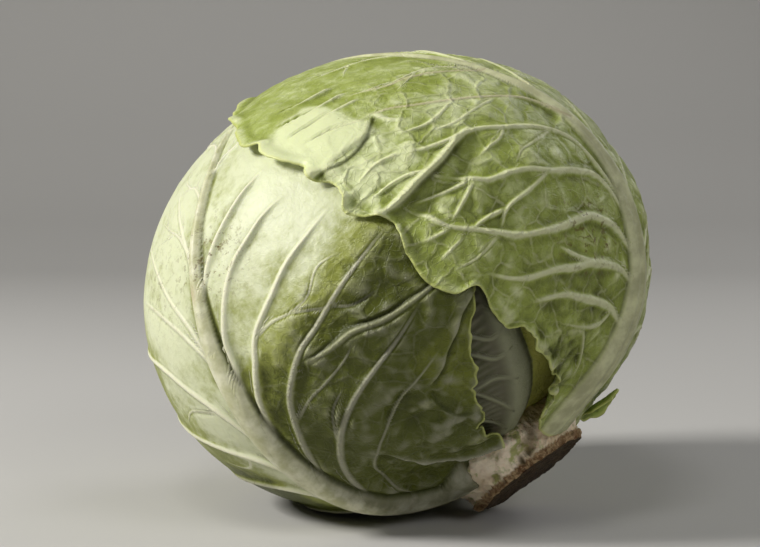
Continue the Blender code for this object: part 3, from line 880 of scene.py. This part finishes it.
def leaf_finish(name, pale, green, deep, rib, net=0.5, web=0.45):
    """Waxy leaf: pale, green and deep patches (deep partly painted shade), cream ribs, a net of veins,
    painted shade in valleys, creases and hollows, painted highlights on ridges and along the thin edge, and
    marks.

    Net is how clearly the fine veins show, and web how clearly the coarser ones do.
    """
    leaf = Finish(name)
    place = leaf.attribute("leaf_cm", "Vector")
    strength, netted, tone, blush, olive, stalk, marked, hollow = (
        leaf.attribute(mask) for mask in Relief.MASKS)
    valley, edge, line = (leaf.attribute(measure) for measure in ("valley", "edge_mm", "line"))
    across = abs(line)
    vein = (1.0 - across.between(0.35, 1.25)) * strength
    crown = (1.0 - across.between(0.0, 1.7)) * strength

    # Patterns: broad and small patches, two nets of veins and fine wrinkles.
    broad = leaf.noise(place, 0.55, 4.0, 0.6)
    mottle = leaf.noise(place, 2.6, 5.0, 0.65)
    grain = leaf.noise(place, 22.0, 3.0, 0.6)
    wandering = leaf.moved(leaf.moved(place, 0.5, 0.8), 0.12, 3.0)
    coarse = leaf.cracks(wandering, 1.0)
    fine = leaf.cracks(wandering, 3.1)
    coarse_line = (1.0 - coarse.between(0.01, 0.055)) * netted * broad.between(0.3, 0.5)
    fine_line = (1.0 - fine.between(0.0, 0.07)) * (0.08 + 0.7 * netted)
    wrinkle = leaf.noise(place, 1.7, 3.0, 0.5, 0.6)
    crease = (1.0 - abs(wrinkle - 0.5).between(0.0, 0.03)) * tone.clamped()

    # The blade between its ribs.
    # Shade mixes the leaf's own tone and patches with painted shade in the valleys.
    shade = tone + 1.5 * (broad - 0.5) + (mottle - 0.5) + 0.8 * valley - 0.3 * crown
    blade = leaf.mix(shade.between(-0.1, 0.7), pale, green)
    blade = leaf.mix(shade.between(0.55, 1.5), blade, deep)
    blade = leaf.mix(0.45 * olive, blade, OLIVE)
    # Painted shade: thin dark lines in the fine creases.
    blade = leaf.mix(0.35 * crease * (1.0 - vein), blade, deep)
    blade = leaf.mix(0.12 * fine_line * (1.0 - tone) * (1.0 - stalk), blade, green)

    # Veins, a painted highlight on raised places, and ribs, then the streaky skin of a midrib's foot; ribs
    # and skin darken with tone towards shaded copies, in part painted shade.
    rib_shade = leaf.mix(tone.between(0.3, 1.6), rib, darker(rib, 0.45))
    veins = web * coarse_line * mottle.between(0.35, 0.6) + net * fine_line * tone
    blade = leaf.mix(veins * (1.0 - vein), blade, rib_shade)
    # Painted highlight: raised places lightened towards the rib colour.
    blade = leaf.mix(-0.9 * valley * (1.0 - vein), blade, rib_shade)
    blade = leaf.mix(vein * (0.9 + 0.3 * (grain - 0.5)), blade, rib_shade)
    streaks = leaf.noise(place, 1.2, 4.0, 0.6)
    # The stalk skin darkens with tone, in part painted shade.
    stalk_shade = leaf.mix(tone.between(0.2, 1.3), STALK, darker(STALK, 0.36))
    stalk_shade = leaf.mix(streaks.between(0.35, 0.7), stalk_shade, rib_shade)
    blade = leaf.mix(stalk, blade, stalk_shade)

    # A pink blush, painted shade in valleys and hollows, the painted highlight along the edge, brown marks
    # and the rubbed wax.
    blade = leaf.mix(0.55 * blush * crown, blade, BLUSH)
    # Painted shade: valleys and hollows darkened towards a deep green.
    blade = leaf.mix(0.7 * valley + 0.7 * hollow, blade, darker(deep, 0.5))
    # Painted highlight along the thin leaf edge.
    blade = leaf.mix(0.6 * (1.0 - edge.between(0.25, 1.3)), blade, EDGE_HIGHLIGHT)
    specks = leaf.noise(place, 9.0, 2.0, 0.5).between(0.735, 0.77) * broad.between(0.5, 0.6)
    scars = leaf.noise(place, 3.4, 4.0, 0.7).between(0.57, 0.61)
    dashes = (1.0 - abs(wrinkle - 0.46).between(0.008, 0.02)) * mottle.between(0.5, 0.56)
    blade = leaf.mix(0.65 * specks + 0.8 * (scars + dashes) * marked, blade, BROWN_MARK)
    rubbed = 0.3 * leaf.noise(place, 1.3, 4.0, 0.7).between(0.5, 0.8)
    blade = leaf.mix(0.2 * rubbed * (1.0 - tone.clamped()), blade, WAX)

    roughness = 0.42 + 0.16 * (mottle - 0.5) + 0.22 * rubbed + 0.1 * (grain - 0.5)
    ridges = (1.0 - coarse.between(0.0, 0.13)) * netted + 0.35 * fine_line
    puckers = 1.2 * ridges - 0.35 * crease + (0.7 + 1.2 * tone.clamped()) * mottle
    height = crown + (1.0 - stalk) * puckers + 0.1 * grain
    return leaf.finish(blade, roughness, leaf.bump(height, 0.0005, 0.7), Subsurface_Weight=0.1,
                       Subsurface_Scale=0.002, Subsurface_Radius=(0.8, 1.0, 0.25), Specular_IOR_Level=0.28)


def stump_finish():
    """Cream flesh, green and pink bits, painted shade in the hollows between lumps, brown fibres towards the
    cut and a dry grey-brown cut face.
    """
    stump = Finish("stump_flesh")
    place = stump.add("ShaderNodeTexCoord", output="Object")
    dry = stump.attribute("dry")
    cut = stump.attribute("cut")
    broad = stump.noise(place, 70.0, 4.0, 0.6)
    grain = stump.noise(place, 420.0, 5.0, 0.7)
    fibres = stump.cracks(stump.moved(place, 0.002, 300.0), 620.0)
    hollow = stump.attribute("hollow")
    flesh = stump.mix(broad.between(0.42, 0.68), (0.95, 0.82, 0.64), (0.80, 0.64, 0.44))
    skin = stump.noise(place, 160.0, 3.0, 0.6)
    flesh = stump.mix(0.8 * skin.between(0.54, 0.66), flesh, (0.36, 0.40, 0.09))
    # Painted shade in the hollows between the lumps.
    flesh = stump.mix(0.9 * hollow, flesh, (0.12, 0.085, 0.03))
    brown = stump.mix(grain.between(0.35, 0.65), (0.16, 0.085, 0.04), (0.50, 0.36, 0.20))
    face = stump.mix(grain.between(0.3, 0.7), (0.035, 0.024, 0.014), (0.13, 0.09, 0.05))
    face = stump.mix(0.7 * (1.0 - fibres.between(0.0, 0.12)), face, (0.045, 0.03, 0.02))
    colour = stump.mix((dry + 0.9 * (grain - 0.5)).between(0.25, 0.75), flesh, brown)
    colour = stump.mix(cut.between(0.4, 0.6), colour, face)
    roughness = 0.55 + 0.25 * dry + 0.15 * (grain - 0.5)
    normal = stump.bump(grain + 0.5 * fibres, 0.0012, 0.8)
    return stump.finish(colour, roughness, normal, Subsurface_Weight=0.08, Subsurface_Scale=0.004,
                        Specular_IOR_Level=0.15)


def make_stump(finish):
    """The cut stem: a spun profile, lumpy where leaves came off, with a rough dry end."""
    profile = [
        (0.0, 62.0), (14.0, 62.0), (20.0, 66.0), (24.0, 70.0), (26.0, 73.0), (26.5, 75.5), (25.5, 77.5),
        (24.0, 79.0), (23.2, 80.3), (22.9, 81.5), (22.8, 82.7), (22.6, 83.8), (22.2, 84.8), (21.2, 85.5),
        (19.0, 85.7), (16.5, 85.6), (13.5, 85.5), (10.5, 85.4), (7.5, 85.4), (4.5, 85.5), (2.0, 85.5),
        (0.0, 85.5)]
    work = bmesh.new()
    points = [work.verts.new((radius, 0.0, -height)) for radius, height in profile]
    edges = [work.edges.new(pair) for pair in zip(points, points[1:])]
    bmesh.ops.spin(work, geom=points + edges, cent=(0, 0, 0), axis=(0, 0, 1), angle=2.0 * math.pi,
                   steps=STUMP_STEPS, use_merge=True)
    bmesh.ops.remove_doubles(work, verts=work.verts, dist=0.001)
    bmesh.ops.subdivide_edges(work, edges=work.edges, cuts=1, use_grid_fill=True)
    bmesh.ops.recalc_face_normals(work, faces=work.faces)
    mesh = bpy.data.meshes.new("stump_flesh")
    work.to_mesh(mesh)
    work.free()
    places = get_places(mesh)
    radius, height = np.hypot(places[:, 0], places[:, 1]), -places[:, 2]
    turn = np.arctan2(places[:, 1], places[:, 0])
    cut = smooth((height - CUT_LEVEL) / 0.4) * smooth((CUT_RADIUS - radius) / 1.5)
    dry = smooth((height - DRY_LEVEL) / 2.5)
    ring_x, ring_y = 25.0 * np.cos(turn), 25.0 * np.sin(turn)
    lumps = (1.5 * value_noise(ring_x + height, ring_y, 9.0, 131)
             + 0.8 * value_noise(ring_x, ring_y + 2.0 * height, 3.5, 132)
             + 0.35 * value_noise(ring_x + 2.0 * height, ring_y, 1.3, 133))
    near_cut = smooth((height - CUT_LEVEL + 6.0) / 3.0) * smooth((CUT_LEVEL + 1.0 - height) / 2.0)
    comb = value_noise(ring_x * 8.0, ring_y * 8.0, 5.5, 137) * near_cut
    side = (1.0 - cut) * smooth(radius / 14.0)
    places[:, :2] *= (1.0 + side * (1.7 * lumps + 0.8 * comb) / np.maximum(radius, 4.0))[:, None]
    face = (0.5 * value_noise(places[:, 0], places[:, 1], 7.0, 134)
            + 0.3 * value_noise(places[:, 0], places[:, 1], 2.0, 135)
            + 0.2 * value_noise(places[:, 0], places[:, 1], 0.9, 136))
    places[:, 2] += smooth((height - CUT_LEVEL + 1.0) / 1.5) * 0.9 * face
    set_places(mesh, MIDDLE + MM * places @ STEM_TURN.T)
    add_attribute(mesh, "cut", cut)
    add_attribute(mesh, "dry", np.clip(dry + 0.4 * comb, 0.0, 1.0))
    # Painted shade where the lumps sink in.
    add_attribute(mesh, "hollow", side * smooth(-(lumps + comb + 0.2) / 1.8))
    stump = add_object("stump_flesh", mesh, finish)
    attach(stump, "root")
    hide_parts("stump")
    return stump


def make_stage():
    """Pale floor that sweeps up behind."""
    mesh = bpy.data.meshes.new("floor")
    sweep = bmesh.new()
    line = [(-1.5, 0.0), (1.0, 0.0), (1.25, 0.03), (1.45, 0.12), (1.6, 0.3), (1.68, 0.55), (1.7, 1.8)]
    points = [sweep.verts.new((-2.5, y, z)) for y, z in line]
    edges = [sweep.edges.new(pair) for pair in zip(points, points[1:])]
    made = bmesh.ops.extrude_edge_only(sweep, edges=edges)["geom"]
    across = [item for item in made if isinstance(item, bmesh.types.BMVert)]
    bmesh.ops.translate(sweep, verts=across, vec=(5.0, 0.0, 0.0))
    bmesh.ops.recalc_face_normals(sweep, faces=sweep.faces)
    sweep.to_mesh(mesh)
    sweep.free()
    paper = Finish("pale_paper")
    grain = paper.noise(paper.add("ShaderNodeTexCoord", output="Object"), 300.0)
    paper.finish((0.52, 0.51, 0.49, 1.0), 0.85, paper.bump(grain, 0.0002, 0.2))
    add_object("floor", mesh, paper.material)


def make_light(name, place, target, size, power, colour=(1.0, 1.0, 1.0)):
    """Soft square light that faces a point."""
    data = bpy.data.lights.new(name, "AREA")
    data.size = size
    data.energy = power
    data.color = colour
    light = bpy.data.objects.new(name, data)
    light.location = place
    light.rotation_euler = (Vector(target) - Vector(place)).to_track_quat("-Z", "Y").to_euler()
    bpy.context.scene.collection.objects.link(light)


def make_studio():
    """Soft key from the upper left, weak lights from the right, above and behind, and a dim room."""
    middle = Vector(MIDDLE)
    make_light("key", (-1.2, -0.35, 0.9), middle, 0.35, 24.0, (1.0, 0.985, 0.95))
    make_light("fill", (0.9, -1.0, 0.9), middle, 0.6, 4.2)
    make_light("top", (-0.25, -0.75, 1.3), middle, 0.35, 2.9)
    make_light("back", (0.9, 0.7, 0.9), middle, 0.6, 4.0)
    world = bpy.data.worlds.new("room")
    bpy.context.scene.world = world
    world.use_nodes = True
    room = world.node_tree.nodes["Background"]
    room.inputs["Color"].default_value = (0.90, 0.90, 0.88, 1.0)
    room.inputs["Strength"].default_value = ROOM_LIGHT
    bpy.context.scene.view_settings.view_transform = "Standard"


def make_camera():
    """Long lens, a little above the head's middle, looking along +Y."""
    data = bpy.data.cameras.new("camera")
    data.lens = 85.0
    data.sensor_width = 36.0
    camera = bpy.data.objects.new("camera", data)
    target = Vector(MIDDLE) + Vector(CAMERA_AIM)
    elevation = math.radians(CAMERA_ELEVATION)
    camera.location = target + CAMERA_DISTANCE * Vector((0.0, -math.cos(elevation), math.sin(elevation)))
    camera.rotation_euler = (target - camera.location).to_track_quat("-Z", "Y").to_euler()
    bpy.context.scene.collection.objects.link(camera)
    bpy.context.scene.camera = camera


make_camera()
left_finish = leaf_finish(
    "left_leaf", (0.66, 0.69, 0.46), (0.29, 0.32, 0.065), DEEP, (0.76, 0.75, 0.56), 0.06, 0.22)
right_finish = leaf_finish(
    "right_leaf", (0.70, 0.75, 0.43), (0.31, 0.37, 0.075), DEEP, (0.68, 0.69, 0.42), 0.22)
crown_finish = leaf_finish(
    "crown_leaf", (0.60, 0.63, 0.34), (0.29, 0.335, 0.055), DEEP, (0.72, 0.70, 0.48), 0.35)
# The cream leaf's colours are set almost black: painted shade for a leaf lying deep in the gap's shadow.
inner_finish = leaf_finish(
    "inner_leaf", (0.12, 0.115, 0.07), (0.085, 0.093, 0.035), DEEP, (0.26, 0.27, 0.165), 0.05)
# The olive leaf's colours are set much brighter than its own: painted light on a leaf that lies in the gap's
# deep shade.
dark_finish = leaf_finish(
    "inner_leaf_dark", (0.70, 0.70, 0.20), (0.68, 0.68, 0.17), (0.58, 0.58, 0.12), (0.6, 0.6, 0.24), 0.15)
scrap_finish = leaf_finish("torn_scrap", (0.50, 0.56, 0.16), (0.34, 0.44, 0.08), DEEP, (0.55, 0.6, 0.22))

make_leaf("left_wrapper_blade", "left_wrapper_leaf", LEFT_LEAF, OUTER_CELLS,
          shape_left_leaf, left_finish, over=(RIGHT_LEAF,),
          ragged=lambda x, y: 0.5 + 1.5 * spot(x, y, (50, -66), 40.0))
make_leaf("right_wrapper_blade", "right_wrapper_leaf", RIGHT_LEAF, OUTER_CELLS,
          shape_right_leaf, right_finish,
          ragged=lambda x, y: 0.6 + 3.6 * spot(x, y, (-48, -84), 38.0))
make_leaf("back_wrapper_blade", "back_wrapper_leaf", BACK_LEAF, OUTER_CELLS,
          shape_back_leaf, crown_finish, over=(RIGHT_LEAF, LEFT_LEAF))
make_leaf("crown_blade", "crown_leaf", CROWN_LEAF, SHORT_CELLS,
          shape_crown_leaf, crown_finish, over=(RIGHT_LEAF, LEFT_LEAF, BACK_LEAF))
make_leaf("inner_blade", "inner_leaf", INNER_LEAF, SHORT_CELLS,
          shape_inner_leaf, inner_finish, over=(RIGHT_LEAF, LEFT_LEAF), thickness=1.2)
make_leaf("inner_under_blade", "inner_under_leaf", UNDER_LEAF, SHORT_CELLS,
          shape_under_leaf, dark_finish)
make_leaf("torn_scrap_blade", "torn_leaf_scrap", SCRAP, SCRAP_CELLS,
          shape_scrap, scrap_finish, ragged=1.6, thickness=0.6)
make_stump(stump_finish())
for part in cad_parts["heart"].material_slots:
    part.material = crown_finish
make_stage()
make_studio()
